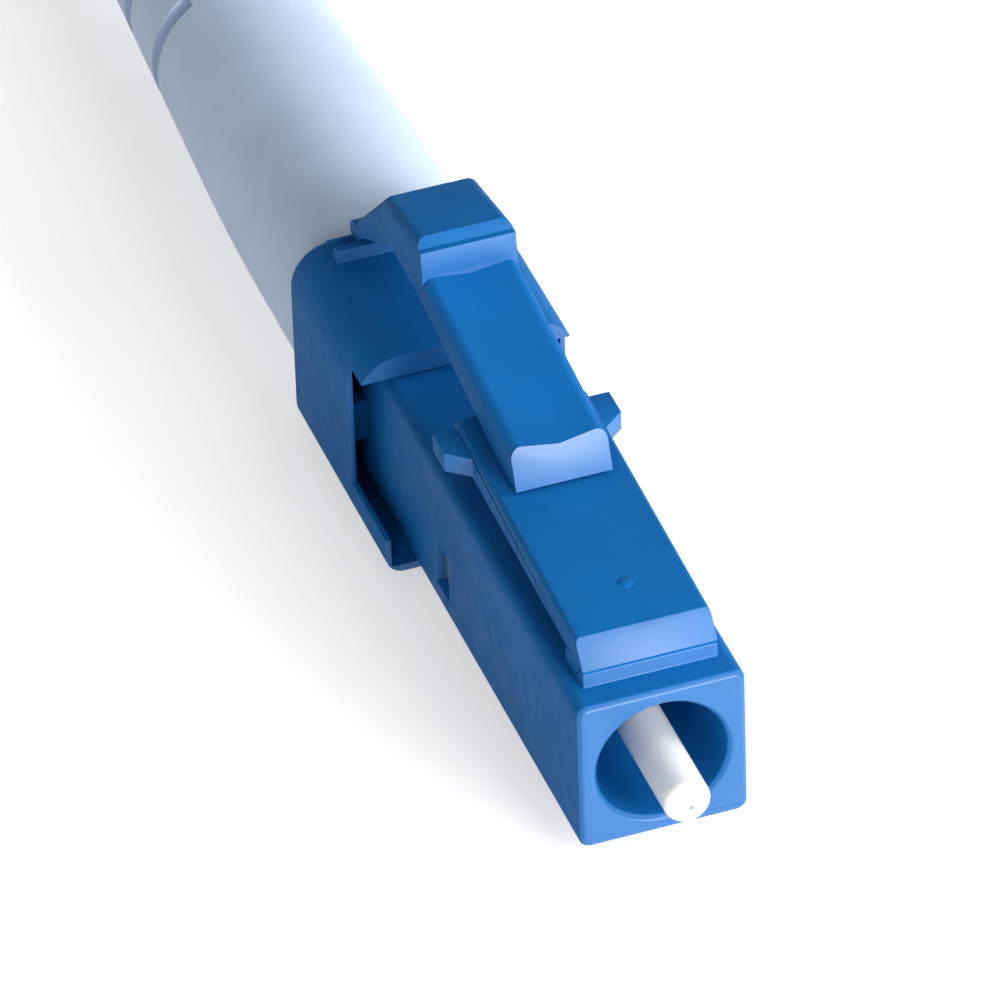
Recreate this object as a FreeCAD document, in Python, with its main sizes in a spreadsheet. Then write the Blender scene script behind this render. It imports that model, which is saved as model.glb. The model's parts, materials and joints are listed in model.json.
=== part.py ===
import FreeCAD, Part
import os
import Sketcher
from FreeCAD import Placement, Rotation, Vector

# LC fibre connector: ceramic ferrule in a sprung holder, front housing with a latch, rear housing with
# a trigger, crimp body and sleeve, and a soft boot.
#
# Frame: the origin is the centre of the ferrule's tip. +Y runs along the fibre towards the boot, +X is
# across the connector and +Z is the latch side. All sizes are in millimetres.

SIZES = {
    # front housing
    "tip_out": 2.0,              # ferrule tip ahead of the housing's front face
    "nose_width": 4.5,
    "nose_height": 4.5,
    "nose_corner": 0.3,
    "nose_rim": 0.12,            # chamfer round the front face
    "bore_diameter": 3.5,        # room for the mating sleeve round the ferrule
    "bore_depth": 4.0,
    "bore_rim": 0.12,
    "web_thickness": 1.0,        # wall that the ferrule holder is pressed against
    "chamber_diameter": 3.4,
    "window_place": 10.4,        # middle of the side windows, from the front face
    "window_drop": 0.87,         # middle of the side windows, below the ferrule axis
    "window_length": 1.0,
    "window_height": 1.4,
    # latch and the pedestal that carries it
    "latch_width": 3.6,
    "latch_inset": 0.8,          # front of the pedestal, from the front face
    "pedestal_length": 1.3,
    "pedestal_height": 0.42,
    "latch_gap": 0.08,           # between the pedestal and the latch above it
    "latch_length": 9.5,
    "latch_thickness": 0.8,
    "latch_front_rise": 1.2,     # top of the arm above the housing, at its front
    "latch_rear_rise": 1.65,     # and at its rear end
    "latch_lean": 0.55,          # how far the front face slopes back
    "latch_root_radius": 0.34,
    "lug_width": 0.6,
    "lug_length": 1.4,
    "lug_ramp": 0.5,
    "lug_drop": 0.16,            # top of the lugs below the arm's edge
    "latch_edge": 0.15,
    # rear housing
    "block_width": 6.0,
    "block_place": 14.6,         # front of the block, from the front face
    "block_length": 5.6,
    "tail_depth": 2.4,           # how far the front housing's tail reaches into the block
    "block_drop": 2.5,           # bottom of the block below the axis
    "block_rise": 2.95,          # top of the block above the axis
    "block_top_corner": 1.2,
    "block_bottom_corner": 0.5,
    "block_rear_edge": 0.35,
    "mouth_side_gap": 0.6,       # open gap beside the front housing's tail
    "mouth_web": 1.2,            # wall between the mouth and the boot's seat
    "cheek_setback": 0.8,        # how far the side walls stand back from the roof's front
    "skirt_length": 1.9,         # tray that reaches forward under the front housing
    "skirt_height": 1.1,
    "rib_length": 0.6,           # snap ribs that hold the front housing's tail
    "rib_height": 1.2,
    "rib_bite": 0.25,
    "rib_place": 1.6,            # middle of the ribs, behind the block's front
    "stand_width": 4.0,          # pedestal of the trigger
    "stand_length": 1.25,
    "stand_height": 0.4,
    # trigger
    "trigger_width": 2.6,
    "trigger_front": 7.0,        # tip of the trigger, from the front face
    "trigger_nose_height": 1.15,
    "trigger_nose_lean": 0.45,
    "trigger_nose_length": 1.3,
    "trigger_strip": 0.85,
    "trigger_step_lead": 0.6,    # step of the trigger, ahead of the block's front
    "trigger_step_height": 3.5,  # top of the strip at the step, above the front housing
    "trigger_step": 0.7,
    "trigger_ledge": 0.25,
    "trigger_crest": 0.22,
    "trigger_top_length": 2.6,
    "trigger_top_fall": 0.5,
    "trigger_leg": 1.15,
    "trigger_dip": 0.2,          # how far the strip's middle lies below its edges
    "trigger_edge": 0.28,
    "trigger_root_radius": 0.34,
    # fits
    "running_gap": 0.03,
    "seat_gap": 0.02,
    # ferrule and its holder
    "ferrule_diameter": 1.25,
    "ferrule_length": 6.5,
    "ferrule_chamfer": 0.25,
    "fibre_bore": 0.126,
    "grip_length": 1.7,          # how much of the ferrule sits in the holder
    "grip_step": 0.17,           # how much thinner its gripped end is, in radius
    "boss_diameter": 1.9,
    "boss_gap": 0.08,
    "boss_chamfer": 0.1,
    "flange_size": 2.7,          # across the flats of the hexagon
    "flange_length": 1.6,
    "stem_diameter": 1.6,
    "stem_length": 3.2,
    # spring
    "spring_wire": 0.28,
    "spring_radius": 1.02,
    "spring_turns": 6.5,
    "spring_length": 5.6,
    # guide tube
    "tube_diameter": 0.9,
    "tube_bore": 0.5,
    "tube_length": 18.0,
    "tube_grip": 1.2,
    # crimp body and sleeve
    "cup_bore": 2.7,
    "cup_lip": 0.3,              # crimp body ahead of the side windows
    "hook_reach": 0.34,          # how far the hooks stand into the windows
    "collar_diameter": 4.4,
    "collar_length": 0.8,
    "crimp_diameter": 2.9,
    "crimp_length": 7.0,
    "crimp_bore": 1.3,
    "grip_grooves": 4,           # grooves that hold the cable's yarn under the sleeve
    "groove_depth": 0.1,
    "hook_gap": 0.06,
    "sleeve_diameter": 3.7,
    "sleeve_wall": 0.35,
    "sleeve_length": 6.2,        # wide part, over the crimp body
    "neck_diameter": 3.2,
    "neck_length": 2.4,          # narrow part, over the cable's jacket
    "neck_cone": 0.5,
    # boot
    "boot_diameter": 5.8,
    "boot_end_diameter": 3.9,
    "boot_collar_diameter": 4.4,
    "boot_length": 24.0,
    "boot_straight": 6.0,
    "boot_edge": 0.2,
    "boot_gap": 0.05,
    "cable_bore": 2.1,
}

doc = FreeCAD.newDocument("LcConnector")
sheet = doc.addObject("Spreadsheet::Sheet", "Sizes")
for row, (name, value) in enumerate(SIZES.items(), 1):
    sheet.set(f"A{row}", name)
    sheet.set(f"B{row}", str(value))
    sheet.setAlias(f"B{row}", name)
doc.recompute()

gauge = doc.addObject("App::FeaturePython", "Gauge")

# Places along the fibre, each an expression of the sheet.
FACE = "Sizes.tip_out"
TOP = "Sizes.nose_height / 2"
BLOCK_FRONT = f"{FACE} + Sizes.block_place"
BLOCK_REAR = f"{BLOCK_FRONT} + Sizes.block_length"
TAIL = f"{BLOCK_FRONT} + Sizes.tail_depth"
WEB_FRONT = f"{FACE} + Sizes.bore_depth"
WEB_REAR = f"{WEB_FRONT} + Sizes.web_thickness"
COLLAR_FRONT = f"{TAIL} + Sizes.seat_gap"
COLLAR_REAR = f"{COLLAR_FRONT} + Sizes.collar_length"
MOUTH_REAR = f"{COLLAR_REAR} + Sizes.seat_gap"
SEAT_FRONT = f"{MOUTH_REAR} + Sizes.mouth_web"
SLEEVE_FRONT = f"{SEAT_FRONT} + Sizes.seat_gap"
SLEEVE_REAR = f"{SLEEVE_FRONT} + Sizes.sleeve_length + Sizes.neck_cone + Sizes.neck_length"
FLANGE_FRONT = f"{WEB_REAR} + Sizes.seat_gap"
FLANGE_REAR = f"{FLANGE_FRONT} + Sizes.flange_length"
GRIP_FRONT = "Sizes.ferrule_length - Sizes.grip_length"
STEM_REAR = f"{FLANGE_REAR} + Sizes.stem_length"
TUBE_FRONT = f"{STEM_REAR} - Sizes.tube_grip"
CUP_FRONT = f"{FACE} + Sizes.window_place - Sizes.window_length / 2 - Sizes.cup_lip"
SPRING_REAR = f"{FLANGE_REAR} + Sizes.spring_length + 2 * Sizes.seat_gap"
LATCH_SLOPE = ("(Sizes.latch_rear_rise - Sizes.latch_front_rise)"
               " / (Sizes.latch_length - Sizes.latch_lean)")
ROOT_Y = f"{FACE} + Sizes.latch_inset + Sizes.pedestal_length / 2"
ROOT_Z = f"{TOP} + Sizes.pedestal_height + Sizes.latch_gap / 2"
STAND_FRONT = f"{BLOCK_REAR} - Sizes.stand_length"
STAND_TOP = "Sizes.block_rise + Sizes.stand_height"
PIVOT_Y = f"{BLOCK_REAR} - Sizes.stand_length / 2"


def number(text):
    """Value of an expression of the sheet."""
    value = gauge.evalExpression(text)
    return float(getattr(value, "Value", value))


def new_body(label):
    body = doc.addObject("PartDesign::Body", label)
    body.Label = label
    return body


def sketch_on(body, role, name, offset="0"):
    """Sketch on one of the body's own planes, moved along the plane's normal."""
    sketch = body.newObject("Sketcher::SketchObject", name)
    plane = next(item for item in body.Origin.OriginFeatures if item.Role == role)
    sketch.AttachmentSupport = (plane, "")
    sketch.MapMode = "FlatFace"
    sketch.setExpression(".AttachmentOffset.Base.z", offset)
    return sketch


def across(body, name, y="0"):
    """Sketch across the connector at a distance y from the origin; its axes are X and Z."""
    return sketch_on(body, "XZ_Plane", name, f"-({y})")


def side(body, name):
    """Sketch on the connector's middle plane; its axes are Y and Z."""
    return sketch_on(body, "YZ_Plane", name)


def bind(sketch, constraint, text):
    index = sketch.addConstraint(constraint)
    sketch.setExpression(f"Constraints[{index}]", text)


def polygon(sketch, points):
    """Closed outline whose corners are pairs of expressions."""
    first = sketch.GeometryCount
    corners = [Vector(number(a), number(b), 0) for a, b in points]
    count = len(corners)
    for i in range(count):
        sketch.addGeometry(Part.LineSegment(corners[i], corners[(i + 1) % count]), False)
    for i in range(count):
        sketch.addConstraint(Sketcher.Constraint("Coincident", first + i, 2, first + (i + 1) % count, 1))
    for i, (a, b) in enumerate(points):
        bind(sketch, Sketcher.Constraint("DistanceX", -1, 1, first + i, 1, corners[i].x), a)
        bind(sketch, Sketcher.Constraint("DistanceY", -1, 1, first + i, 1, corners[i].y), b)
    return sketch


def rectangle(sketch, left, right, low, high):
    return polygon(sketch, [(left, low), (right, low), (right, high), (left, high)])


def circle(sketch, a, b, diameter):
    index = sketch.addGeometry(Part.Circle(Vector(number(a), number(b), 0), Vector(0, 0, 1),
                                           number(diameter) / 2), False)
    bind(sketch, Sketcher.Constraint("DistanceX", -1, 1, index, 3, number(a)), a)
    bind(sketch, Sketcher.Constraint("DistanceY", -1, 1, index, 3, number(b)), b)
    bind(sketch, Sketcher.Constraint("Diameter", index, number(diameter)), diameter)
    return sketch


def feature(body, kind, name, sketch, length=None, both_ways=False, reverse=False):
    """Pad or Pocket of a sketch. Sketches across the connector are padded towards +Y by reverse."""
    step = body.newObject(f"PartDesign::{kind}", name)
    step.Profile = sketch
    if both_ways:
        step.SideType = "Symmetric"
    step.Reversed = reverse
    if length is None:
        step.Type = "ThroughAll"
    else:
        step.setExpression("Length", length)
    sketch.Visibility = False
    doc.recompute()
    return step


def pad(body, name, sketch, length, both_ways=False, reverse=False):
    return feature(body, "Pad", name, sketch, length, both_ways, reverse)


def pocket(body, name, sketch, length=None, both_ways=False, reverse=False):
    before = body.Shape.Volume
    step = feature(body, "Pocket", name, sketch, length, both_ways, reverse)
    if body.Shape.Volume > before - 1e-6:
        raise RuntimeError(f"{name} cuts nothing")
    return step


def turned(label, points):
    """Body turned about the fibre axis from its half section in (y, radius)."""
    body = new_body(label)
    half = polygon(side(body, f"{label}_section"), points)
    spin = body.newObject("PartDesign::Revolution", f"{label}_turn")
    spin.Profile = half
    spin.ReferenceAxis = (half, ["H_Axis"])
    spin.Angle = 360
    doc.recompute()
    return body


def edges_at(shape, test):
    """Names of the edges whose middle point and direction pass a test."""
    names = []
    for i, edge in enumerate(shape.Edges, 1):
        middle = edge.valueAt((edge.FirstParameter + edge.LastParameter) / 2)
        heading = edge.tangentAt((edge.FirstParameter + edge.LastParameter) / 2)
        if test(middle, heading, edge):
            names.append(f"Edge{i}")
    return names


def dress(body, kind, name, size, test):
    """Fillet or chamfer the edges that pass a test."""
    base = body.Tip
    names = edges_at(base.Shape, test)
    if not names:
        raise RuntimeError(f"{name} finds no edge")
    step = body.newObject(f"PartDesign::{kind}", name)
    step.Base = (base, names)
    step.setExpression("Radius" if kind == "Fillet" else "Size", size)
    body.Tip = step
    doc.recompute()
    if "Invalid" in step.State:
        raise RuntimeError(f"{name} fails")
    return step


def near(a, b):
    return abs(a - b) < 1e-4


def straight(heading, axis):
    return abs(heading.dot(axis)) > 0.999


def is_upper(shape, point):
    """Whether an edge beside the middle plane has no material above it."""
    step = 0.02
    inward = -step if point.x > 0 else step
    return not shape.isInside(point + Vector(inward, 0, step), 1e-6, True)


X, Y = Vector(1, 0, 0), Vector(0, 1, 0)


def front_housing():
    body = new_body("front_housing")
    half_w = "Sizes.nose_width / 2"
    outer = rectangle(across(body, "nose_section", FACE), f"-{half_w}", half_w, f"-{TOP}", TOP)
    pad(body, "nose", outer, f"{TAIL} - {FACE}", reverse=True)
    dress(body, "Fillet", "nose_corners", "Sizes.nose_corner", lambda p, d, e: straight(d, Y))

    front = f"{FACE} + Sizes.latch_inset"
    foot = rectangle(side(body, "pedestal_profile"), front, f"{front} + Sizes.pedestal_length",
                     f"{TOP} - Sizes.nose_corner", f"{TOP} + Sizes.pedestal_height")
    pad(body, "pedestal", foot, "Sizes.latch_width", both_ways=True)
    seat = circle(side(body, "root_seat"), ROOT_Y, ROOT_Z,
                  "2 * (Sizes.latch_root_radius + Sizes.running_gap)")
    pocket(body, "root_groove", seat, both_ways=True)

    bore = circle(across(body, "bore_circle", FACE), "0", "0", "Sizes.bore_diameter")
    pocket(body, "front_bore", bore, "Sizes.bore_depth")
    chamber = circle(across(body, "chamber_circle", TAIL), "0", "0", "Sizes.chamber_diameter")
    pocket(body, "chamber", chamber, f"{TAIL} - ({WEB_REAR})", reverse=True)
    hole = circle(across(body, "web_circle", FACE), "0", "0", "Sizes.boss_diameter + 2 * Sizes.boss_gap")
    pocket(body, "web_hole", hole)

    middle = f"{FACE} + Sizes.window_place"
    window = rectangle(side(body, "window_outline"),
                       f"{middle} - Sizes.window_length / 2", f"{middle} + Sizes.window_length / 2",
                       "-Sizes.window_drop - Sizes.window_height / 2",
                       "-Sizes.window_drop + Sizes.window_height / 2")
    pocket(body, "side_windows", window, both_ways=True)

    notch_y = f"{BLOCK_FRONT} + Sizes.rib_place"
    reach = "Sizes.rib_length / 2 + Sizes.running_gap"
    inner = f"{half_w} - Sizes.rib_bite - Sizes.running_gap"
    for hand, sign in (("left", "-"), ("right", "")):
        notch = sketch_on(body, "XY_Plane", f"{hand}_notch_outline")
        polygon(notch, [(f"{sign}({inner})", f"{notch_y} - {reach}"),
                        (f"{sign}(Sizes.nose_width)", f"{notch_y} - {reach}"),
                        (f"{sign}(Sizes.nose_width)", f"{notch_y} + {reach}"),
                        (f"{sign}({inner})", f"{notch_y} + {reach}")])
        pocket(body, f"{hand}_notch", notch, "Sizes.rib_height + 2 * Sizes.running_gap", both_ways=True)

    face = number(FACE)
    bore_radius = number("Sizes.bore_diameter / 2")
    dress(body, "Chamfer", "bore_rim", "Sizes.bore_rim",
          lambda p, d, e: near(p.y, face) and near(Vector(p.x, 0, p.z).Length, bore_radius))
    dress(body, "Chamfer", "front_rim", "Sizes.nose_rim",
          lambda p, d, e: near(p.y, face) and Vector(p.x, 0, p.z).Length > bore_radius + 0.3)
    return body


def latch():
    body = new_body("latch")
    front = f"{FACE} + Sizes.latch_inset"
    rear = f"{front} + Sizes.latch_length"
    under = f"{TOP} + Sizes.pedestal_height + Sizes.latch_gap"
    foot = f"{front} + Sizes.pedestal_length"
    arm = polygon(side(body, "arm_profile"), [
        (front, under),
        (foot, under),
        (rear, f"{TOP} + Sizes.latch_rear_rise - Sizes.latch_thickness"),
        (rear, f"{TOP} + Sizes.latch_rear_rise"),
        (f"{front} + Sizes.latch_lean", f"{TOP} + Sizes.latch_front_rise")])
    pad(body, "arm", arm, "Sizes.latch_width", both_ways=True)

    root = circle(side(body, "root_circle"), ROOT_Y, ROOT_Z, "2 * Sizes.latch_root_radius")
    pad(body, "root", root, "Sizes.latch_width", both_ways=True)

    half = "Sizes.latch_width / 2"
    wide = f"({half} + Sizes.lug_width)"
    lug_front = f"{rear} - Sizes.lug_length"
    low = f"{TOP} + Sizes.latch_rear_rise - Sizes.latch_thickness"
    fall = f"{LATCH_SLOPE} * Sizes.lug_length"
    lugs = polygon(sketch_on(body, "XY_Plane", "lug_plan", low), [
        (f"-{half}", lug_front), (half, lug_front),
        (wide, f"{lug_front} + Sizes.lug_ramp"), (wide, rear),
        (f"-{wide}", rear), (f"-{wide}", f"{lug_front} + Sizes.lug_ramp")])
    pad(body, "lugs", lugs, f"Sizes.latch_thickness - {fall} - Sizes.lug_drop")
    side_x = number(half)
    dress(body, "Fillet", "arm_edges", "Sizes.latch_edge",
          lambda p, d, e: near(abs(p.x), side_x) and e.Length > side_x and is_upper(body.Shape, p))
    return body


def rear_housing():
    body = new_body("rear_housing")
    half_w = "Sizes.block_width / 2"
    outer = rectangle(across(body, "block_section", BLOCK_FRONT), f"-{half_w}", half_w,
                      "-Sizes.block_drop", "Sizes.block_rise")
    pad(body, "block", outer, "Sizes.block_length", reverse=True)
    dress(body, "Fillet", "block_top_corners", "Sizes.block_top_corner",
          lambda p, d, e: straight(d, Y) and p.z > 0)
    skirt_front = f"{BLOCK_FRONT} - Sizes.skirt_length"
    tray = rectangle(across(body, "skirt_section", skirt_front), f"-{half_w}", half_w,
                     "-Sizes.block_drop", "-Sizes.block_drop + Sizes.skirt_height")
    pad(body, "skirt", tray, "Sizes.skirt_length", reverse=True)
    dress(body, "Fillet", "block_bottom_corners", "Sizes.block_bottom_corner",
          lambda p, d, e: straight(d, Y) and near(p.z, -number("Sizes.block_drop")))
    rear = number(BLOCK_REAR)
    dress(body, "Fillet", "block_rear_edges", "Sizes.block_rear_edge", lambda p, d, e: near(p.y, rear))
    cheek = rectangle(side(body, "cheek_profile"), f"{BLOCK_FRONT} - Sizes.skirt_length / 2",
                      f"{BLOCK_FRONT} + Sizes.cheek_setback",
                      "-Sizes.block_drop + Sizes.skirt_height", f"{TOP} + Sizes.running_gap")
    pocket(body, "cheek_cut", cheek, both_ways=True)

    stand = rectangle(side(body, "stand_profile"), STAND_FRONT, f"{BLOCK_REAR} - Sizes.block_rear_edge",
                      "Sizes.block_rise - Sizes.block_rear_edge", STAND_TOP)
    pad(body, "stand", stand, "Sizes.stand_width", both_ways=True)

    mouth_half = "(Sizes.nose_width / 2 + Sizes.mouth_side_gap)"
    mouth = rectangle(across(body, "mouth_section", skirt_front), f"-{mouth_half}", mouth_half,
                      f"-({TOP} + Sizes.running_gap)", f"{TOP} + Sizes.running_gap")
    pocket(body, "mouth", mouth, f"{MOUTH_REAR} - ({skirt_front})")

    passage = circle(across(body, "passage_circle", BLOCK_FRONT), "0", "0",
                     "Sizes.crimp_diameter + 2 * Sizes.running_gap")
    pocket(body, "passage", passage)
    seat = circle(across(body, "boot_seat_circle", SEAT_FRONT), "0", "0",
                  "Sizes.boot_collar_diameter + 2 * Sizes.boot_gap")
    pocket(body, "boot_seat", seat)

    rib_y = f"{BLOCK_FRONT} + Sizes.rib_place"
    tip = "Sizes.nose_width / 2 - Sizes.rib_bite"
    for hand, sign in (("left", "-"), ("right", "")):
        plan = polygon(sketch_on(body, "XY_Plane", f"{hand}_rib_outline"), [
            (f"{sign}({tip})", f"{rib_y} + Sizes.rib_length / 2"),
            (f"{sign}({tip})", f"{rib_y}"),
            (f"{sign}({mouth_half} + Sizes.seat_gap)", f"{rib_y} - Sizes.rib_length / 2"),
            (f"{sign}({mouth_half} + Sizes.seat_gap)", f"{rib_y} + Sizes.rib_length / 2")])
        pad(body, f"{hand}_rib", plan, "Sizes.rib_height", both_ways=True)

    groove = circle(side(body, "pivot_seat"), PIVOT_Y, STAND_TOP,
                    "2 * (Sizes.trigger_root_radius + Sizes.running_gap)")
    pocket(body, "pivot_groove", groove, both_ways=True)
    return body


def trigger():
    body = new_body("trigger")
    front = f"{FACE} + Sizes.trigger_front"
    heel = "(Sizes.trigger_front + Sizes.trigger_nose_length - Sizes.latch_inset - Sizes.latch_lean)"
    latch_top = f"{TOP} + Sizes.latch_front_rise + {heel} * {LATCH_SLOPE} + Sizes.running_gap"
    step = f"{BLOCK_FRONT} - Sizes.trigger_step_lead"
    strip = f"{TOP} + Sizes.trigger_step_height"
    ledge = f"{strip} + Sizes.trigger_step"
    crest = f"{ledge} + Sizes.trigger_crest"
    top_front = f"{step} + 2 * Sizes.trigger_ledge"
    top_rear = f"{top_front} + Sizes.trigger_top_length"
    profile = polygon(side(body, "trigger_profile"), [
        (front, latch_top),
        (f"{front} + Sizes.trigger_nose_lean", f"{latch_top} + Sizes.trigger_nose_height"),
        (step, strip),
        (f"{step} + 0.1 * Sizes.trigger_step", ledge),
        (f"{step} + Sizes.trigger_ledge", ledge),
        (top_front, crest),
        (top_rear, f"{crest} - Sizes.trigger_top_fall"),
        (f"{PIVOT_Y} + Sizes.trigger_root_radius", STAND_TOP + " + Sizes.latch_gap"),
        (f"{PIVOT_Y} - Sizes.trigger_root_radius", STAND_TOP + " + Sizes.latch_gap"),
        (f"{top_rear} - Sizes.trigger_leg / 2", f"{crest} - Sizes.trigger_top_fall - Sizes.trigger_leg"),
        (f"{step}", f"{strip} - Sizes.trigger_strip"),
        (f"{front} + Sizes.trigger_nose_length", latch_top)])
    pad(body, "strip", profile, "Sizes.trigger_width", both_ways=True)
    root = circle(side(body, "pivot_circle"), PIVOT_Y, STAND_TOP, "2 * Sizes.trigger_root_radius")
    pad(body, "pivot_root", root, "Sizes.trigger_width", both_ways=True)

    run = number(f"{step} - ({front} + Sizes.trigger_nose_lean)")
    rise = number(f"{strip} - ({latch_top} + Sizes.trigger_nose_height)")
    half = "Sizes.trigger_width / 2"
    wide = f"({half} + Sizes.trigger_dip)"
    wedge = polygon(across(body, "dip_section", step), [
        (f"-{wide}", strip), (wide, strip), ("0", f"{strip} - Sizes.trigger_dip")])
    dip = pocket(body, "dip", wedge, f"{step} - ({front})", reverse=True)
    dip.UseCustomVector = True
    dip.Direction = Vector(0, run, rise).normalize()
    doc.recompute()
    side_x = number(half)
    dress(body, "Fillet", "strip_edges", "Sizes.trigger_edge",
          lambda p, d, e: near(abs(p.x), side_x) and e.Length > side_x and is_upper(body.Shape, p))
    return body


def ferrule():
    radius = "Sizes.ferrule_diameter / 2"
    fibre = "Sizes.fibre_bore / 2"
    return turned("ferrule", [
        ("0", fibre),
        ("0", f"{radius} - Sizes.ferrule_chamfer"),
        ("Sizes.ferrule_chamfer", radius),
        (GRIP_FRONT, radius),
        (GRIP_FRONT, f"{radius} - Sizes.grip_step"),
        ("Sizes.ferrule_length", f"{radius} - Sizes.grip_step"),
        ("Sizes.ferrule_length", fibre)])


def ferrule_holder():
    grip = "Sizes.ferrule_diameter / 2 - Sizes.grip_step"
    boss = "Sizes.boss_diameter / 2"
    body = turned("ferrule_holder", [
        (GRIP_FRONT, grip),
        (GRIP_FRONT, f"{boss} - Sizes.boss_chamfer"),
        (f"{GRIP_FRONT} + Sizes.boss_chamfer", boss),
        (f"{FLANGE_FRONT} + Sizes.seat_gap", boss),
        (f"{FLANGE_FRONT} + Sizes.seat_gap", "Sizes.stem_diameter / 2"),
        (STEM_REAR, "Sizes.stem_diameter / 2"),
        (STEM_REAR, "Sizes.tube_diameter / 2"),
        (TUBE_FRONT, "Sizes.tube_diameter / 2"),
        (TUBE_FRONT, "Sizes.tube_bore / 2"),
        ("Sizes.ferrule_length", "Sizes.tube_bore / 2"),
        ("Sizes.ferrule_length", grip)])
    hexagon = across(body, "flange_section", FLANGE_FRONT)
    polygon(hexagon, [(f"Sizes.flange_size / sqrt(3) * cos({60 * i} deg)",
                       f"Sizes.flange_size / sqrt(3) * sin({60 * i} deg)") for i in range(6)])
    circle(hexagon, "0", "0", "Sizes.stem_diameter")
    pad(body, "flange", hexagon, "Sizes.flange_length", reverse=True)
    return body


def guide_tube():
    rear = f"{TUBE_FRONT} + Sizes.tube_length"
    return turned("guide_tube", [
        (TUBE_FRONT, "Sizes.tube_bore / 2"), (TUBE_FRONT, "Sizes.tube_diameter / 2"),
        (rear, "Sizes.tube_diameter / 2"), (rear, "Sizes.tube_bore / 2")])


def spring():
    """Coil of wire, shorter than its room by its own thickness, so that both ends stay between their seats."""
    coil = doc.addObject("Part::Helix", "spring_path")
    coil.setExpression("Radius", "Sizes.spring_radius")
    coil.setExpression("Height", "Sizes.spring_length - Sizes.spring_wire")
    coil.setExpression("Pitch", "(Sizes.spring_length - Sizes.spring_wire) / Sizes.spring_turns")
    wire = doc.addObject("Part::RegularPolygon", "spring_wire")
    wire.Polygon = 8
    wire.setExpression("Circumradius", "Sizes.spring_wire / 2")
    wire.Placement = Placement(Vector(), Rotation(X, 90))
    wire.setExpression(".Placement.Base.x", "Sizes.spring_radius")
    sweep = doc.addObject("Part::Sweep", "spring")
    sweep.Sections = [wire]
    sweep.Spine = (coil, ["Edge1"])
    sweep.Solid = True
    sweep.Frenet = True
    sweep.Label = "spring"
    sweep.Placement = Placement(Vector(), Rotation(X, -90))
    sweep.setExpression(".Placement.Base.y", f"{FLANGE_REAR} + Sizes.seat_gap + Sizes.spring_wire / 2")
    doc.recompute()
    return sweep


def crimp_body():
    outer = "Sizes.chamber_diameter / 2 - Sizes.seat_gap"
    crimp = "Sizes.crimp_diameter / 2"
    rear = f"{COLLAR_REAR} + Sizes.crimp_length"
    count = int(number("Sizes.grip_grooves"))
    first = f"({SEAT_FRONT} + Sizes.groove_depth)"
    pitch = f"(({rear}) - {first}) / Sizes.grip_grooves"
    grooves = []
    for i in range(count):
        middle = f"{first} + {i + 0.5} * {pitch}"
        grooves += [(f"{middle} - Sizes.groove_depth", crimp),
                    (middle, f"{crimp} - Sizes.groove_depth"),
                    (f"{middle} + Sizes.groove_depth", crimp)]
    body = turned("crimp_body", [
        (CUP_FRONT, "Sizes.cup_bore / 2"),
        (CUP_FRONT, outer),
        (COLLAR_FRONT, outer),
        (COLLAR_FRONT, "Sizes.collar_diameter / 2"),
        (COLLAR_REAR, "Sizes.collar_diameter / 2"),
        (COLLAR_REAR, crimp)] + grooves + [
        (rear, crimp),
        (rear, "Sizes.crimp_bore / 2"),
        (SPRING_REAR, "Sizes.crimp_bore / 2"),
        (SPRING_REAR, "Sizes.cup_bore / 2")])

    middle = f"({FACE} + Sizes.window_place)"
    front = f"{middle} - Sizes.window_length / 2 + Sizes.hook_gap"
    back = f"{middle} + Sizes.window_length / 2 - Sizes.hook_gap"
    foot = "Sizes.cup_bore / 2 + Sizes.hook_gap"
    reach = f"{outer} + Sizes.hook_reach"
    for hand, sign in (("left", "-"), ("right", "")):
        plan = polygon(sketch_on(body, "XY_Plane", f"{hand}_hook_plan", "-Sizes.window_drop"), [
            (f"{sign}({foot})", front), (f"{sign}({outer})", front),
            (f"{sign}({reach})", f"{back} - Sizes.hook_reach"),
            (f"{sign}({reach})", back), (f"{sign}({foot})", back)])
        pad(body, f"{hand}_hook", plan, "Sizes.window_height - 2 * Sizes.hook_gap", both_ways=True)
    return body


def crimp_sleeve():
    outer = "Sizes.sleeve_diameter / 2"
    neck = "Sizes.neck_diameter / 2"
    wide_end = f"{SLEEVE_FRONT} + Sizes.sleeve_length"
    neck_start = f"{wide_end} + Sizes.neck_cone"
    return turned("crimp_sleeve", [
        (SLEEVE_FRONT, f"{outer} - Sizes.sleeve_wall"), (SLEEVE_FRONT, outer), (wide_end, outer),
        (neck_start, neck), (SLEEVE_REAR, neck), (SLEEVE_REAR, f"{neck} - Sizes.sleeve_wall"),
        (neck_start, f"{neck} - Sizes.sleeve_wall"), (wide_end, f"{outer} - Sizes.sleeve_wall")])


def boot():
    front = f"{SEAT_FRONT} + Sizes.boot_gap"
    shoulder = f"{BLOCK_REAR} + Sizes.boot_gap"
    rear = f"{shoulder} + Sizes.boot_length"
    pocket_end = f"{SLEEVE_REAR} + Sizes.boot_gap"
    wide = "Sizes.sleeve_diameter / 2 + Sizes.boot_gap"
    body = turned("boot", [
        (front, wide),
        (front, "Sizes.boot_collar_diameter / 2"),
        (shoulder, "Sizes.boot_collar_diameter / 2"),
        (shoulder, "Sizes.boot_diameter / 2"),
        (f"{shoulder} + Sizes.boot_straight", "Sizes.boot_diameter / 2"),
        (rear, "Sizes.boot_end_diameter / 2"),
        (rear, "Sizes.cable_bore / 2"),
        (pocket_end, "Sizes.cable_bore / 2"),
        (pocket_end, wide)])
    ends = [(number(shoulder), number("Sizes.boot_diameter / 2")),
            (number(rear), number("Sizes.boot_end_diameter / 2"))]
    dress(body, "Chamfer", "boot_edges", "Sizes.boot_edge",
          lambda p, d, e: any(near(p.y, y) and near(Vector(p.x, 0, p.z).Length, r) for y, r in ends))
    return body


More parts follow.
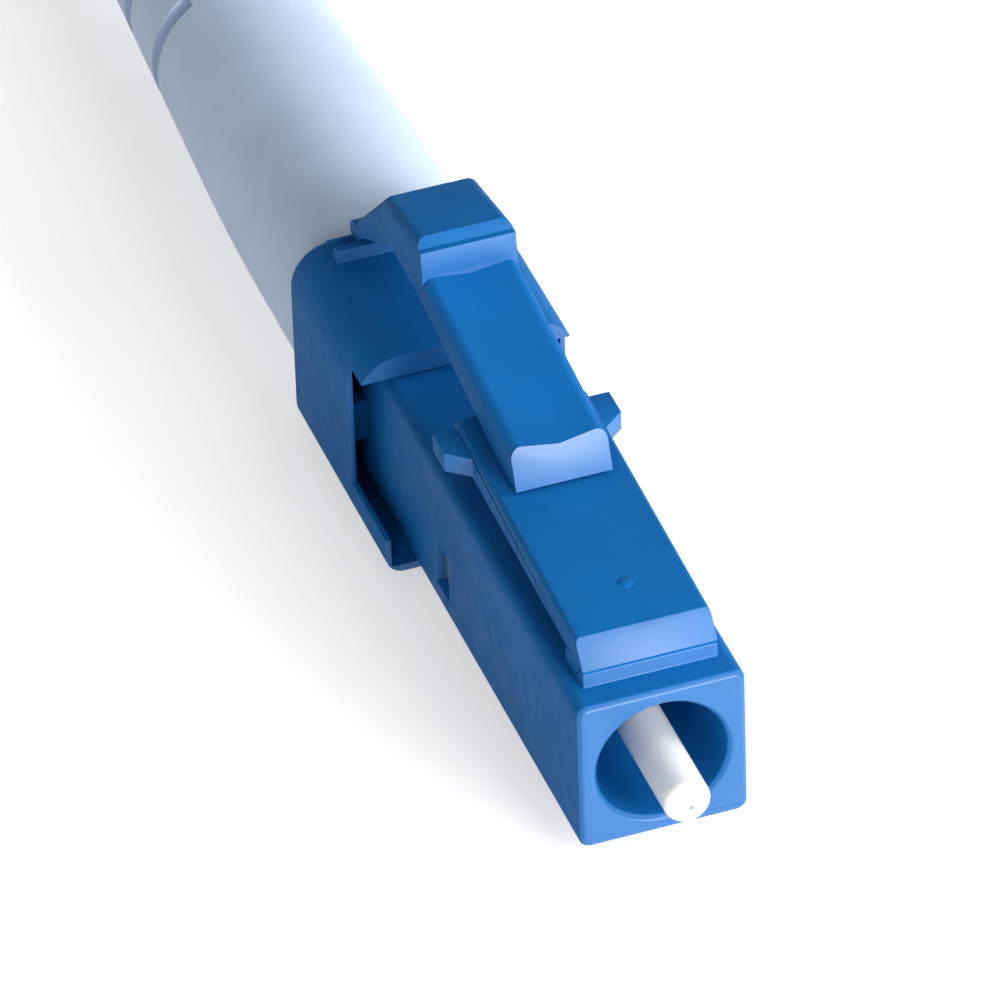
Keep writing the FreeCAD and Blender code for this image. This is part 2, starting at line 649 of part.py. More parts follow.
SUB_PARTS = [front_housing, latch, rear_housing, trigger, ferrule, ferrule_holder, guide_tube, spring,
             crimp_body, crimp_sleeve, boot]


def write_parts():
    built = [make() for make in SUB_PARTS]
    doc.recompute()
    for item in doc.Objects:
        if "Invalid" in item.State or "Error" in item.State:
            raise RuntimeError(f"{item.Name} failed: {item.State}")
    os.makedirs("parts", exist_ok=True)
    for item in built:
        if item.Shape.isNull() or not item.Shape.isValid():
            raise RuntimeError(f"{item.Label} has no valid shape")
        item.Shape.exportStep(f"parts/{item.Label}.step")
        box = item.Shape.BoundBox
        print(f"{item.Label}: {item.Shape.Volume:.3f} mm3, {len(item.Shape.Solids)} solid, "
              f"y {box.YMin:.2f} to {box.YMax:.2f}, z {box.ZMin:.2f} to {box.ZMax:.2f}")


write_parts()
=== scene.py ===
import json
import math
import bmesh
import bpy
from bpy.props import FloatProperty, FloatVectorProperty, IntProperty, PointerProperty
from mathutils import Matrix, Vector


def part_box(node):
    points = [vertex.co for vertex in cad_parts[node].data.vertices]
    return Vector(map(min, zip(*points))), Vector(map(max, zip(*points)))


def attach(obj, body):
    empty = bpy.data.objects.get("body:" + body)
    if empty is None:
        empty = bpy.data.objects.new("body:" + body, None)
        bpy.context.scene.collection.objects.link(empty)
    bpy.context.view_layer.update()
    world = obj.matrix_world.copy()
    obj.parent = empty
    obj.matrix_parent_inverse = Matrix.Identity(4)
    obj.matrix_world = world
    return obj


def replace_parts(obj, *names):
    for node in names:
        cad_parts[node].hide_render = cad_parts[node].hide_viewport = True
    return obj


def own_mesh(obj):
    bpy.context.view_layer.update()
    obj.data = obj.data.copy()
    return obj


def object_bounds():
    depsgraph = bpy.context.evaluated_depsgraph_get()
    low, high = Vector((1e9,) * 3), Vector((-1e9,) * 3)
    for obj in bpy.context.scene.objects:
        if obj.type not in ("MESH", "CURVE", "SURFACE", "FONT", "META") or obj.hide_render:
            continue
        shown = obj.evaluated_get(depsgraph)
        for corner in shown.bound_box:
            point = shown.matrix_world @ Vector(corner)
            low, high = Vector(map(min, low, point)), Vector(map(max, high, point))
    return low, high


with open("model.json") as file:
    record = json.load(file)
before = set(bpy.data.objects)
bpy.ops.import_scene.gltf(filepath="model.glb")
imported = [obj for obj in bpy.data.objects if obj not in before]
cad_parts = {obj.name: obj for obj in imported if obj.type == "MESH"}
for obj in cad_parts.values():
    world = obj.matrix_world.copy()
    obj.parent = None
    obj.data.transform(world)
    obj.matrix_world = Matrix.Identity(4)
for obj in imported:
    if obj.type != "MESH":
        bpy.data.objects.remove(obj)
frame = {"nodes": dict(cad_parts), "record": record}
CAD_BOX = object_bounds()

# LC fibre connector: finished mouldings, ferrule, spring and boot round the CAD model, with a floor and
# soft studio light. Lengths are in metres. The origin is the centre of the ferrule's tip, +Y runs
# towards the boot, +Z is the latch side.

bl_info = {
    "name": "LC fibre connector",
    "version": (1, 0, 0),
    "blender": (4, 5, 0),
    "location": "3D View > Sidebar > Connector",
    "description": "Finishes the pieces of an LC fibre connector and sets up its stage",
    "category": "Object",
}

MM = 0.001
FLAT = math.radians(0.6)         # faces within this angle are one flat face
CORNER = math.radians(32)        # edges sharper than this are moulded corners
MERGE = 0.0005 * MM              # points closer than this are one point
POLISH = (0.5, 0.9)              # how far a face looks forwards where the mould's polish starts and is full


def linear(code):
    """sRGB hex colour as linear red, green, blue and alpha."""
    parts = [int(code[i:i + 2], 16) / 255 for i in (1, 3, 5)]
    return [p / 12.92 if p <= 0.04045 else ((p + 0.055) / 1.055) ** 2.4 for p in parts] + [1.0]


def colour(name, code, description):
    """Colour property with a hex default."""
    return FloatVectorProperty(name=name, description=description, subtype="COLOR", size=4,
                               min=0, max=1, default=linear(code))


class ConnectorColours(bpy.types.PropertyGroup):
    plastic: colour("Housing plastic", "#0A64A8", "Blue of the two housings, the latch and the trigger")
    boot: colour("Boot", "#C6DAF4", "Cool pale grey of the soft boot")
    zirconia: colour("Zirconia", "#FBFAF7", "White of the ceramic ferrule")


class ConnectorSizes(bpy.types.PropertyGroup):
    corner: FloatProperty(name="Moulded corner", description="Radius of the housings' outer corners",
                          default=0.07 * MM, min=0.01 * MM, unit="LENGTH", precision=5)
    grain: FloatProperty(name="Mould grain", description="Pitch of the eroded mould's fine texture",
                         default=0.06 * MM, min=0.01 * MM, unit="LENGTH", precision=5)
    spring_turns: FloatProperty(name="Spring turns", description="Turns of the float spring",
                                default=8.5, min=1)
    boot_steps: IntProperty(name="Boot steps", description="Faces round the boot", default=96, min=16)
    relief_rings: IntProperty(name="Relief rings", description="Rings of slots in the boot's tail",
                              default=8, min=1, max=9)


# ---------------------------------------------------------------- materials

def add(tree, kind, inputs=None, **settings):
    """Adds a node, gives it its settings, and sets or links its inputs by name."""
    node = tree.nodes.new(kind)
    for name, value in settings.items():
        setattr(node, name, value)
    for name, value in (inputs or {}).items():
        if isinstance(value, bpy.types.NodeSocket):
            tree.links.new(value, node.inputs[name])
        else:
            node.inputs[name].default_value = value
    return node


def new_material(name, shader=None):
    """Material with a Principled shader's set values: (material, its tree, shader, Object coordinates)."""
    material = bpy.data.materials.new(name)
    material.use_nodes = True
    tree = material.node_tree
    tree.nodes.clear()
    place = add(tree, "ShaderNodeTexCoord").outputs["Object"]
    bsdf = add(tree, "ShaderNodeBsdfPrincipled", shader)
    add(tree, "ShaderNodeOutputMaterial", {"Surface": bsdf.outputs["BSDF"]})
    return material, tree, bsdf, place


def shade(base, factor):
    """A linear colour made lighter or darker."""
    return [c * factor for c in base[:3]] + [1.0]


def mottle(tree, place, size, low, high, detail=2.0):
    """Soft noise of a given feature size, between two values."""
    noise = add(tree, "ShaderNodeTexNoise", {"Vector": place, "Scale": 1 / size, "Detail": detail})
    spread = add(tree, "ShaderNodeMapRange", {"Value": noise.outputs["Fac"], "From Min": 0.3,
                                              "From Max": 0.7, "To Min": low, "To Max": high})
    return spread.outputs["Result"]


def blotches(tree, place, base, size, low, high):
    """A colour that drifts a little lighter and darker over a given size."""
    drift = mottle(tree, place, size, 0.0, 1.0)
    mix = add(tree, "ShaderNodeMix", {0: drift, 6: shade(base, low), 7: shade(base, high)}, data_type="RGBA")
    return mix.outputs[2]


def dress(tree, bsdf, base=None, roughness=None, height=None, depth=0.0):
    """Links a shader's colour, roughness and bump, where given."""
    if base:
        tree.links.new(base, bsdf.inputs["Base Color"])
    if roughness:
        tree.links.new(roughness, bsdf.inputs["Roughness"])
    if height:
        bump = add(tree, "ShaderNodeBump", {"Height": height, "Distance": depth, "Strength": 0.5})
        tree.links.new(bump.outputs["Normal"], bsdf.inputs["Normal"])


def moulded_pbt():
    """Blue PBT, injection moulded. The mould's eroded sides leave it satin, with a fine grain and faint
    flow. Its polished ends leave the faces that look forwards glossier, which the coat gives them. The
    IOR is well below PBT's own, matched to sides that reflect very little."""
    look, sizes = bpy.context.scene.connector_colours, bpy.context.scene.connector_sizes
    material, tree, bsdf, place = new_material("PBT_moulded", {
        "IOR": 1.22, "Coat IOR": 1.62, "Coat Roughness": 0.45})
    polish = add(tree, "ShaderNodeAttribute", attribute_name="polish").outputs["Fac"]
    tree.links.new(polish, bsdf.inputs["Coat Weight"])
    satin = mottle(tree, place, 0.5 * MM, 0.56, 0.66)
    rough = add(tree, "ShaderNodeMapRange", {"Value": polish, "To Min": satin, "To Max": 0.32})
    dress(tree, bsdf, blotches(tree, place, look.plastic, 2.5 * MM, 0.92, 1.06), rough.outputs["Result"],
          mottle(tree, place, sizes.grain, 0.0, 1.0, 3.0), 0.002 * MM)
    return material


def moulded_elastomer():
    """Pale elastomer, injection moulded: matte, with a faint soft sheen at its edges."""
    look = bpy.context.scene.connector_colours
    material, tree, bsdf, place = new_material("elastomer_moulded", {
        "IOR": 1.48, "Sheen Weight": 0.15, "Sheen Roughness": 0.5})
    dress(tree, bsdf, blotches(tree, place, look.boot, 3.0 * MM, 0.95, 1.04),
          mottle(tree, place, 0.8 * MM, 0.5, 0.62),
          mottle(tree, place, 0.08 * MM, 0.0, 1.0, 3.0), 0.003 * MM)
    return material


def ground_zirconia():
    """Zirconia ceramic, ground round and polished: dense white with a clear gloss and faint rings."""
    look = bpy.context.scene.connector_colours
    material, tree, bsdf, place = new_material("zirconia_ground", {"IOR": 2.1})
    rings = add(tree, "ShaderNodeMapping", {"Vector": place, "Scale": (0.15, 1.0, 0.15)})
    dress(tree, bsdf, blotches(tree, place, look.zirconia, 1.5 * MM, 0.97, 1.0),
          mottle(tree, rings.outputs["Vector"], 0.05 * MM, 0.14, 0.22))
    return material


def turned_metal(name, code, low, high, pitch):
    """Metal turned or drawn round Y: satin, with fine rings in its gloss."""
    material, tree, bsdf, place = new_material(name, {"Metallic": 1.0})
    rings = add(tree, "ShaderNodeMapping", {"Vector": place, "Scale": (0.1, 1.0, 0.1)})
    marks = mottle(tree, rings.outputs["Vector"], pitch, 0.0, 1.0)
    dress(tree, bsdf, blotches(tree, place, linear(code), 1.2 * MM, 0.94, 1.03),
          mottle(tree, rings.outputs["Vector"], pitch, low, high), marks, 0.001 * MM)
    return material


def extruded_tube():
    """White PTFE tube, extruded: waxy, with long faint die lines."""
    material, tree, bsdf, place = new_material("PTFE_extruded", {"IOR": 1.38})
    lines = add(tree, "ShaderNodeMapping", {"Vector": place, "Scale": (1.0, 0.05, 1.0)})
    dress(tree, bsdf, blotches(tree, place, linear("#E8E9E6"), 2.0 * MM, 0.96, 1.0),
          mottle(tree, lines.outputs["Vector"], 0.1 * MM, 0.4, 0.55))
    return material


def fibre_glass():
    """Silica fibre end, polished with the ferrule: a small dark glossy dot."""
    material, tree, bsdf, place = new_material("silica_polished", {"IOR": 1.46})
    dress(tree, bsdf, blotches(tree, place, linear("#8E979C"), 0.05 * MM, 0.9, 1.0),
          mottle(tree, place, 0.04 * MM, 0.05, 0.1))
    return material


MAKERS = {
    "blue_plastic": moulded_pbt,
    "boot_rubber": moulded_elastomer,
    "zirconia": ground_zirconia,
    "nickel": lambda: turned_metal("nickel_turned", "#B4B2AA", 0.22, 0.34, 0.08 * MM),
    "crimp_metal": lambda: turned_metal("aluminium_drawn", "#C9C9C6", 0.34, 0.46, 0.15 * MM),
    "spring_steel": lambda: turned_metal("steel_drawn", "#A4A39F", 0.26, 0.36, 0.05 * MM),
    "tube_plastic": extruded_tube,
    "glass": fibre_glass,
}
made = {}


def material_for(slot):
    """Finish of a material slot, made once."""
    if slot not in made:
        made[slot] = MAKERS[slot]()
    return made[slot]


def slot_of(node):
    """Material slot of a CAD node."""
    return next(row["material_slot"] for row in frame["record"]["subparts"] if row["node"] == node)


def body_of(node):
    """Moving body that carries a CAD node."""
    return next(body for body, nodes in frame["record"]["behaviour"]["bodies"].items() if node in nodes)


# ---------------------------------------------------------------- pieces

def new_piece(name, mesh, node, material_slot=None):
    """Object at the origin that rides with a CAD node's body and takes a finish."""
    piece = bpy.data.objects.new(name, mesh)
    bpy.context.scene.collection.objects.link(piece)
    mesh.materials.clear()
    mesh.materials.append(material_for(material_slot or slot_of(node)))
    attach(piece, body_of(node))
    return piece


def mesh_of(build, name):
    """Plain mesh with the modifiers of an object applied."""
    graph = bpy.context.evaluated_depsgraph_get()
    mesh = bpy.data.meshes.new_from_object(build.evaluated_get(graph), depsgraph=graph)
    mesh.name = name
    bpy.data.objects.remove(build)
    return mesh


def set_smooth(mesh, angle=CORNER):
    """Smooth shading, with a crease where faces meet at more than the angle."""
    work = bmesh.new()
    work.from_mesh(mesh)
    for face in work.faces:
        face.smooth = True
    for edge in work.edges:
        edge.smooth = edge.is_manifold and edge.calc_face_angle(0.0) < angle
    work.to_mesh(mesh)
    work.free()


def moulding(name, node, radius):
    """Copy of a CAD node's solid with its triangles merged into faces and its corners rounded."""
    mesh = frame["nodes"][node].data.copy()
    work = bmesh.new()
    work.from_mesh(mesh)
    bmesh.ops.remove_doubles(work, verts=work.verts, dist=MERGE)
    bmesh.ops.dissolve_limit(work, angle_limit=FLAT, verts=work.verts, edges=work.edges)
    work.to_mesh(mesh)
    work.free()
    build = bpy.data.objects.new(name + "_build", mesh)
    bpy.context.scene.collection.objects.link(build)
    bevel = build.modifiers.new("corners", "BEVEL")
    bevel.width = radius
    bevel.segments = 3
    bevel.limit_method = "ANGLE"
    bevel.angle_limit = CORNER
    bevel.use_clamp_overlap = True
    mesh = mesh_of(build, name)
    set_smooth(mesh)
    polish = mesh.attributes.new("polish", "FLOAT", "FACE")
    start, full = POLISH
    for face in mesh.polygons:
        polish.data[face.index].value = min(max((-face.normal.y - start) / (full - start), 0.0), 1.0)
    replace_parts(new_piece(name, mesh, node), node)


def rounded(outline, radii, steps=5):
    """Outline of (y, r) points with an arc at each corner that has a radius."""
    points = []
    for i, (corner, radius) in enumerate(zip(outline, radii)):
        here, before, after = (Vector(p) for p in (corner, outline[i - 1], outline[(i + 1) % len(outline)]))
        if not radius:
            points.append(here)
            continue
        one, two = (before - here).normalized(), (after - here).normalized()
        half = one.angle(two) / 2
        start, end = here + one * radius / math.tan(half), here + two * radius / math.tan(half)
        middle = here + (one + two).normalized() * radius / math.sin(half)
        turn = (start - middle).angle_signed(end - middle)
        for k in range(steps + 1):
            points.append(middle + Matrix.Rotation(-turn * k / steps, 2) @ (start - middle))
    return points


def turned(name, outline, steps):
    """Closed outline of (y, r) points in metres, turned about Y and closed on the axis."""
    work = bmesh.new()
    rings = []
    for k in range(steps):
        a = 2 * math.pi * k / steps
        rings.append([work.verts.new((r * math.sin(a), y, r * math.cos(a))) for y, r in outline])
    for k in range(steps):
        one, two = rings[k], rings[(k + 1) % steps]
        for i in range(len(outline)):
            j = (i + 1) % len(outline)
            work.faces.new((one[i], one[j], two[j], two[i]))
    bmesh.ops.remove_doubles(work, verts=work.verts, dist=MERGE)
    bmesh.ops.recalc_face_normals(work, faces=work.faces)
    mesh = bpy.data.meshes.new(name)
    work.to_mesh(mesh)
    work.free()
    set_smooth(mesh)
    return mesh


def node_tree(name, sizes):
    """Empty geometry tree with named size inputs: (tree, its inputs by name)."""
    tree = bpy.data.node_groups.new(name, "GeometryNodeTree")
    tree.interface.new_socket("Geometry", in_out="INPUT", socket_type="NodeSocketGeometry")
    tree.interface.new_socket("Geometry", in_out="OUTPUT", socket_type="NodeSocketGeometry")
    for label, value in sizes.items():
        whole = isinstance(value, int)
        socket = tree.interface.new_socket(label, in_out="INPUT",
                                           socket_type="NodeSocketInt" if whole else "NodeSocketFloat")
        socket.default_value = value
    return tree, add(tree, "NodeGroupInput").outputs


def grown(name, tree, geometry, slot, base=None):
    """Mesh that a geometry tree makes, after Realize Instances and Set Material."""
    solid = add(tree, "GeometryNodeRealizeInstances", {"Geometry": geometry}).outputs["Geometry"]
    painted = add(tree, "GeometryNodeSetMaterial", {"Geometry": solid, "Material": material_for(slot)})
    add(tree, "NodeGroupOutput", {"Geometry": painted.outputs["Geometry"]})
    build = bpy.data.objects.new(name + "_build", base or bpy.data.meshes.new(name + "_base"))
    bpy.context.scene.collection.objects.link(build)
    build.modifiers.new(name, "NODES").node_group = tree
    return mesh_of(build, name)


def finish_node(node):
    """A CAD node whose shape is right gets its finish."""
    slots = frame["nodes"][node].material_slots
    for entry in slots:
        entry.material = material_for(slot_of(node))


# ---------------------------------------------------------------- operators

class CONNECTOR_OT_housings(bpy.types.Operator):
    """Front and rear housings, with the soft corners of a moulding"""
    bl_idname = "connector.housings"
    bl_label = "Housings"

    def execute(self, context):
        corner = context.scene.connector_sizes.corner
        moulding("front_housing_moulding", "front_housing", corner)
        moulding("rear_housing_moulding", "rear_housing", corner)
        return {"FINISHED"}


class CONNECTOR_OT_levers(bpy.types.Operator):
    """Latch arm with its lugs, and the trigger above it"""
    bl_idname = "connector.levers"
    bl_label = "Latch and trigger"

    def execute(self, context):
        corner = context.scene.connector_sizes.corner
        moulding("latch_arm", "latch", corner)
        moulding("trigger_arm", "trigger", corner)
        self.root_web()
        self.gate_mark()
        return {"FINISHED"}

    def root_web(self):
        """Web that joins the latch's foot to the pedestal under it, as they are one moulding."""
        low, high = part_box("latch")
        front, top = low[1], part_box("front_housing")[1][2]
        inside, recess = 0.62 * MM, 0.015 * MM                       # from the latch's side and its front
        sunk = 0.03 * MM                                             # below the top of the pedestal
        depth, height, edge = 0.55 * MM, 0.12 * MM, 0.02 * MM
        mesh = bpy.data.meshes.new("latch_root_web")
        work = bmesh.new()
        bmesh.ops.create_cube(work, size=1)
        for v in work.verts:
            v.co = (v.co.x * 2 * (high[0] - inside), front + recess + (v.co.y + 0.5) * depth,
                    top - sunk + (v.co.z + 0.5) * height)
        bmesh.ops.bevel(work, geom=work.edges[:], offset=edge, segments=2, affect="EDGES")
        work.to_mesh(mesh)
        work.free()
        new_piece("latch_root_web", mesh, "front_housing")

    def gate_mark(self):
        """Gate mark in the top of the latch: a small low dome, its rim sunk in the slope."""
        dome = [(0.05, 0.0), (0.046, 0.07), (0.036, 0.13), (0.02, 0.18), (0.0, 0.22), (-0.02, 0.23),
                (-0.02, 0.0)]                                        # height and radius in millimetres
        place, rise, run = Vector((0.12, 4.9, 3.525)) * MM, 0.45, 8.95
        mesh = turned("latch_gate_mark", [(y * MM, r * MM) for y, r in dome], 40)
        mesh.transform(Matrix.Translation(place)
                       @ Matrix.Rotation(math.atan2(rise, run) + math.pi / 2, 4, "X"))
        new_piece("latch_gate_mark", mesh, "latch")


class CONNECTOR_OT_ferrule(bpy.types.Operator):
    """Ceramic ferrule with the fibre in its bore, its holder and the guide tube"""
    bl_idname = "connector.ferrule"
    bl_label = "Ferrule"

    def execute(self, context):
        low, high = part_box("ferrule")
        front, rear, radius = low[1], high[1], high[0]
        bore, recess = 0.063 * MM, 0.002 * MM
        grip, step, chamfer = rear - 1.7 * MM, 0.17 * MM, 0.25 * MM
        rim, shoulder = 0.08 * MM, 0.3 * MM
        outline = [(front, bore), (front, radius - chamfer), (front + chamfer, radius), (grip, radius),
                   (grip, radius - step), (rear, radius - step), (rear, bore)]
        ceramic = turned("ferrule_ceramic", rounded(outline, [0, rim, shoulder, 0, 0, 0, 0]), 96)
        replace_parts(new_piece("ferrule_ceramic", ceramic, "ferrule"), "ferrule")
        core = [(front + recess, 0.0), (front + recess, bore), (rear, bore), (rear, 0.0)]
        new_piece("fibre_end", turned("fibre_end", core, 24), "ferrule", "glass")
        finish_node("ferrule_holder")
        finish_node("guide_tube")
        return {"FINISHED"}


class CONNECTOR_OT_spring(bpy.types.Operator):
    """Float spring, wound by a node tree"""
    bl_idname = "connector.spring"
    bl_label = "Float spring"

    def execute(self, context):
        low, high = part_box("spring")
        wire = 0.28 * MM
        tree, given = node_tree("spring_winding", {
            "Radius": high[0] - wire / 2, "Wire": wire, "Start": low[1] + wire / 2,
            "Length": high[1] - low[1] - wire, "Turns": context.scene.connector_sizes.spring_turns})
        coil = add(tree, "GeometryNodeCurveSpiral", {
            "Resolution": 32, "Rotations": given["Turns"], "Start Radius": given["Radius"],
            "End Radius": given["Radius"], "Height": given["Length"]})
        start = add(tree, "ShaderNodeCombineXYZ", {"Y": given["Start"]})
        along = add(tree, "GeometryNodeTransform", {
            "Geometry": coil.outputs["Curve"], "Translation": start.outputs["Vector"],
            "Rotation": (-math.pi / 2, 0, 0)})
        half = add(tree, "ShaderNodeMath", {0: given["Wire"], 1: 0.5}, operation="MULTIPLY")
        section = add(tree, "GeometryNodeCurvePrimitiveCircle",
                      {"Resolution": 10, "Radius": half.outputs["Value"]})
        tube = add(tree, "GeometryNodeCurveToMesh", {
            "Curve": along.outputs["Geometry"], "Profile Curve": section.outputs["Curve"], "Fill Caps": True})
        mesh = grown("float_spring", tree, tube.outputs["Mesh"], "spring_steel")
        set_smooth(mesh)
        spring = new_piece("float_spring", mesh, "spring")
        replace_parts(spring, "spring")
        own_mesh(spring)
        return {"FINISHED"}


class CONNECTOR_OT_crimp(bpy.types.Operator):
    """Crimp body and crimp sleeve inside the rear housing"""
    bl_idname = "connector.crimp"
    bl_label = "Crimp"

    def execute(self, context):
        finish_node("crimp_body")
        finish_node("crimp_sleeve")
        return {"FINISHED"}


class CONNECTOR_OT_boot(bpy.types.Operator):
    """Soft tapered boot behind the rear housing, with relief slots in its tail"""
    bl_idname = "connector.boot"
    bl_label = "Boot"

    def execute(self, context):
        low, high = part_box("boot")
        front, rear, wide = low[1], high[1], high[0]
        shoulder, straight, pocket = front + 1.16 * MM, 6.0 * MM, front + 9.12 * MM
        collar, cavity, end, bore = 2.2 * MM, 1.9 * MM, 1.95 * MM, 1.05 * MM
        corner, easing, lip = 0.3 * MM, 90.0 * MM, 0.1 * MM
        outline = [(front, cavity), (front, collar), (shoulder, collar), (shoulder, wide),
                   (shoulder + straight, wide), (rear, end), (rear, bore), (pocket, bore), (pocket, cavity)]
        radii = [0, 0, 0, corner, easing, corner, lip, 0, 0]
        sizes = context.scene.connector_sizes
        sleeve = turned("boot_sleeve_base", rounded(outline, radii, 8), sizes.boot_steps)
        mesh = grown("boot_sleeve", *self.slots(sizes.relief_rings, rear), "boot_rubber", sleeve)
        set_smooth(mesh)
        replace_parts(new_piece("boot_sleeve", mesh, "boot"), "boot")
        return {"FINISHED"}

    def slots(self, rings, rear):
        """Tree that cuts pairs of curved slots, each ring turned a quarter from the last."""
        tree, given = node_tree("relief_slots", {
            "Rings": rings, "Pitch": 1.4 * MM, "Slot": 0.6 * MM, "Last": rear - 1.6 * MM,
            "Cutter Radius": 2.4 * MM, "Cutter Depth": 1.8 * MM,
            "Arc Start": math.radians(35), "Arc Sweep": math.radians(110)})
        arc = add(tree, "GeometryNodeCurveArc", {
            "Resolution": 24, "Radius": given["Cutter Radius"],
            "Start Angle": given["Arc Start"], "Sweep Angle": given["Arc Sweep"]})
        bar = add(tree, "GeometryNodeCurvePrimitiveQuadrilateral", {
            "Width": given["Cutter Depth"], "Height": given["Slot"]})
        one = add(tree, "GeometryNodeCurveToMesh", {
            "Curve": arc.outputs["Curve"], "Profile Curve": bar.outputs["Curve"], "Fill Caps": True})
        other = add(tree, "GeometryNodeTransform", {
            "Geometry": one.outputs["Mesh"], "Rotation": (0, 0, math.pi)})
        pair = add(tree, "GeometryNodeJoinGeometry")
        tree.links.new(one.outputs["Mesh"], pair.inputs["Geometry"])
        tree.links.new(other.outputs["Geometry"], pair.inputs["Geometry"])
        upright = add(tree, "GeometryNodeTransform", {
            "Geometry": pair.outputs["Geometry"], "Rotation": (math.pi / 2, 0, 0)})
        start = add(tree, "ShaderNodeCombineXYZ", {"Y": given["Last"]})
        forwards = add(tree, "ShaderNodeMath", {0: given["Pitch"], 1: -1.0}, operation="MULTIPLY")
        step = add(tree, "ShaderNodeCombineXYZ", {"Y": forwards.outputs["Value"]})
        row = add(tree, "GeometryNodeMeshLine", {
            "Count": given["Rings"], "Start Location": start.outputs["Vector"],
            "Offset": step.outputs["Vector"]})
        index = add(tree, "GeometryNodeInputIndex")
        odd = add(tree, "ShaderNodeMath", {0: index.outputs["Index"], 1: 2.0}, operation="MODULO")
        quarter = add(tree, "ShaderNodeMath", {0: odd.outputs["Value"], 1: math.pi / 2}, operation="MULTIPLY")
        turn = add(tree, "ShaderNodeCombineXYZ", {"Y": quarter.outputs["Value"]})
        cutters = add(tree, "GeometryNodeInstanceOnPoints", {
            "Points": row.outputs["Mesh"], "Instance": upright.outputs["Geometry"],
            "Rotation": turn.outputs["Vector"]})
        solid = add(tree, "GeometryNodeRealizeInstances", {"Geometry": cutters.outputs["Instances"]})
        cut = add(tree, "GeometryNodeMeshBoolean", {
            "Mesh 1": given["Geometry"], "Mesh 2": solid.outputs["Geometry"]},
            operation="DIFFERENCE", solver="MANIFOLD")
        return tree, cut.outputs["Mesh"]


def lamp(name, place, aim, width, height, power):
    """White softbox of a given size and power that faces a point."""
    light = bpy.data.lights.new(name, "AREA")
    light.shape = "RECTANGLE"
    light.size, light.size_y, light.energy = width, height, power
    piece = bpy.data.objects.new(name, light)
    piece.location = place
    piece.rotation_euler = (Vector(aim) - Vector(place)).to_track_quat("-Z", "Y").to_euler()
    bpy.context.scene.collection.objects.link(piece)


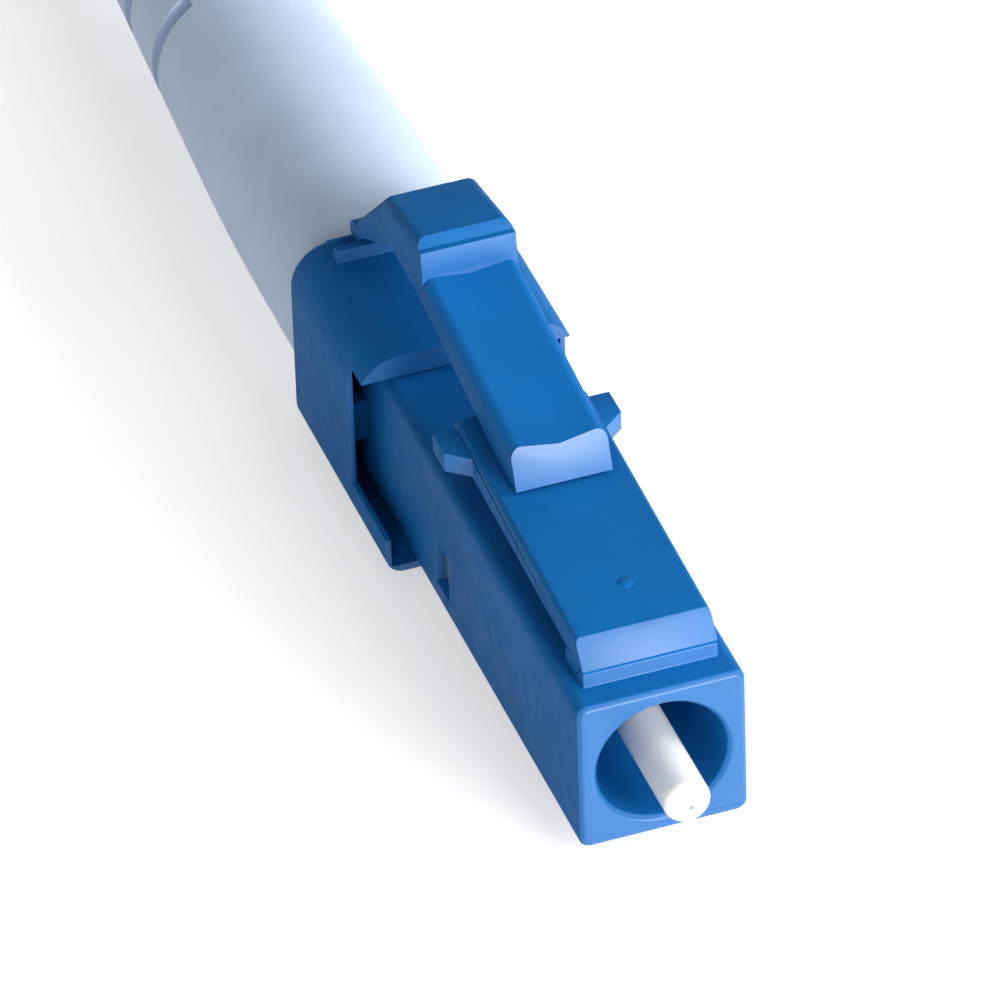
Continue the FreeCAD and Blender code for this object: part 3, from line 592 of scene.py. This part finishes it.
class CONNECTOR_OT_stage(bpy.types.Operator):
    """Pale floor, soft light and the camera"""
    bl_idname = "connector.stage"
    bl_label = "Stage"

    def execute(self, context):
        scene = context.scene
        scene.view_settings.view_transform = "Standard"
        self.floor(scene)
        self.world(scene)
        middle = (0, 10 * MM, 0)
        lamp("front_softbox", (0.075, -0.243, 0.094), middle, 0.12, 0.18, 0.95)
        lamp("right_softbox", (0.24, 0.0, 0.12), middle, 0.14, 0.14, 0.5)
        lamp("left_fill", (-0.15, -0.22, 0.10), middle, 0.10, 0.10, 0.16)
        self.camera(scene)
        return {"FINISHED"}

    def floor(self, scene):
        """Round pale floor that curves up into a low wall, white where nothing shades it."""
        reach, bend, top = 0.8, 0.15, 0.3
        under = CAD_BOX[0][2] - 0.02 * MM
        profile = [(0.0, under), (reach - bend, under)]
        profile += [(reach - bend + bend * math.sin(a), under + bend * (1 - math.cos(a)))
                    for a in (math.radians(9 * k) for k in range(1, 11))] + [(reach, top)]
        work = bmesh.new()
        line = [work.verts.new((r, 0, z)) for r, z in profile]
        edges = [work.edges.new(pair) for pair in zip(line, line[1:])]
        bmesh.ops.spin(work, geom=line + edges, cent=(0, 0, 0), axis=(0, 0, 1), angle=2 * math.pi, steps=96)
        bmesh.ops.remove_doubles(work, verts=work.verts, dist=0.01 * MM)
        bmesh.ops.recalc_face_normals(work, faces=work.faces)
        mesh = bpy.data.meshes.new("floor")
        work.to_mesh(mesh)
        work.free()
        set_smooth(mesh)
        material, tree, bsdf, place = new_material("floor_paper", {
            "Roughness": 0.9, "Emission Color": (1, 1, 1, 1)})
        dress(tree, bsdf, blotches(tree, place, linear("#EFEFEF"), 40 * MM, 0.99, 1.0))
        glow = 0.5                                  # seen directly, in gloss and through glass, and no more
        rays = add(tree, "ShaderNodeLightPath").outputs
        seen = add(tree, "ShaderNodeMath", {0: rays["Is Camera Ray"], 1: rays["Is Glossy Ray"]},
                   operation="MAXIMUM")
        seen = add(tree, "ShaderNodeMath", {0: seen.outputs[0], 1: rays["Is Transmission Ray"]},
                   operation="MAXIMUM")
        dim = add(tree, "ShaderNodeMath", {0: seen.outputs[0], 1: glow}, operation="MULTIPLY")
        tree.links.new(dim.outputs[0], bsdf.inputs["Emission Strength"])
        mesh.materials.append(material)
        plane = bpy.data.objects.new("floor", mesh)
        scene.collection.objects.link(plane)

    def world(self, scene):
        """Even dim light from all round."""
        scene.world = bpy.data.worlds.new("studio")
        scene.world.use_nodes = True
        tree = scene.world.node_tree
        tree.nodes.clear()
        back = add(tree, "ShaderNodeBackground", {"Color": (1, 1, 1, 1), "Strength": 0.25})
        add(tree, "ShaderNodeOutputWorld", {"Surface": back.outputs["Background"]})

    def camera(self, scene):
        """Long lens in front of the nose, from its left and well above."""
        azimuth, elevation, roll = (math.radians(v) for v in (-18.45, 37.87, 2.0))
        distance, target = 0.3, Vector((-1.03, 11.14, 1.97)) * MM
        towards = Vector((math.sin(azimuth) * math.cos(elevation), -math.cos(azimuth) * math.cos(elevation),
                          math.sin(elevation)))
        right = Vector((math.cos(azimuth), math.sin(azimuth), 0))
        turn = Matrix((right, towards.cross(right), towards)).transposed()
        data = bpy.data.cameras.new("camera")
        data.lens, data.clip_start, data.clip_end = 423, 0.01, 10
        camera = bpy.data.objects.new("camera", data)
        camera.location = target + towards * distance
        camera.rotation_euler = (turn @ Matrix.Rotation(-roll, 3, "Z")).to_euler()
        scene.collection.objects.link(camera)
        scene.camera = camera


PIECES = (CONNECTOR_OT_housings, CONNECTOR_OT_levers, CONNECTOR_OT_ferrule, CONNECTOR_OT_spring,
          CONNECTOR_OT_crimp, CONNECTOR_OT_boot, CONNECTOR_OT_stage)


class VIEW3D_PT_connector(bpy.types.Panel):
    """Sizes, colours and makers of the connector"""
    bl_label = "LC fibre connector"
    bl_idname = "VIEW3D_PT_connector"
    bl_space_type = "VIEW_3D"
    bl_region_type = "UI"
    bl_category = "Connector"

    def draw(self, context):
        for group in (context.scene.connector_sizes, context.scene.connector_colours):
            box = self.layout.box()
            for name in group.__annotations__:
                box.prop(group, name)
        for piece in PIECES:
            self.layout.operator(piece.bl_idname)


CLASSES = (ConnectorColours, ConnectorSizes, *PIECES, VIEW3D_PT_connector)


def register():
    for item in CLASSES:
        bpy.utils.register_class(item)
    bpy.types.Scene.connector_colours = PointerProperty(type=ConnectorColours)
    bpy.types.Scene.connector_sizes = PointerProperty(type=ConnectorSizes)


def unregister():
    del bpy.types.Scene.connector_sizes
    del bpy.types.Scene.connector_colours
    for item in reversed(CLASSES):
        bpy.utils.unregister_class(item)


def main():
    """Makes every piece and the stage."""
    register()
    for piece in PIECES:
        group, name = piece.bl_idname.split(".")
        getattr(getattr(bpy.ops, group), name)()


if __name__ == "__main__":
    main()
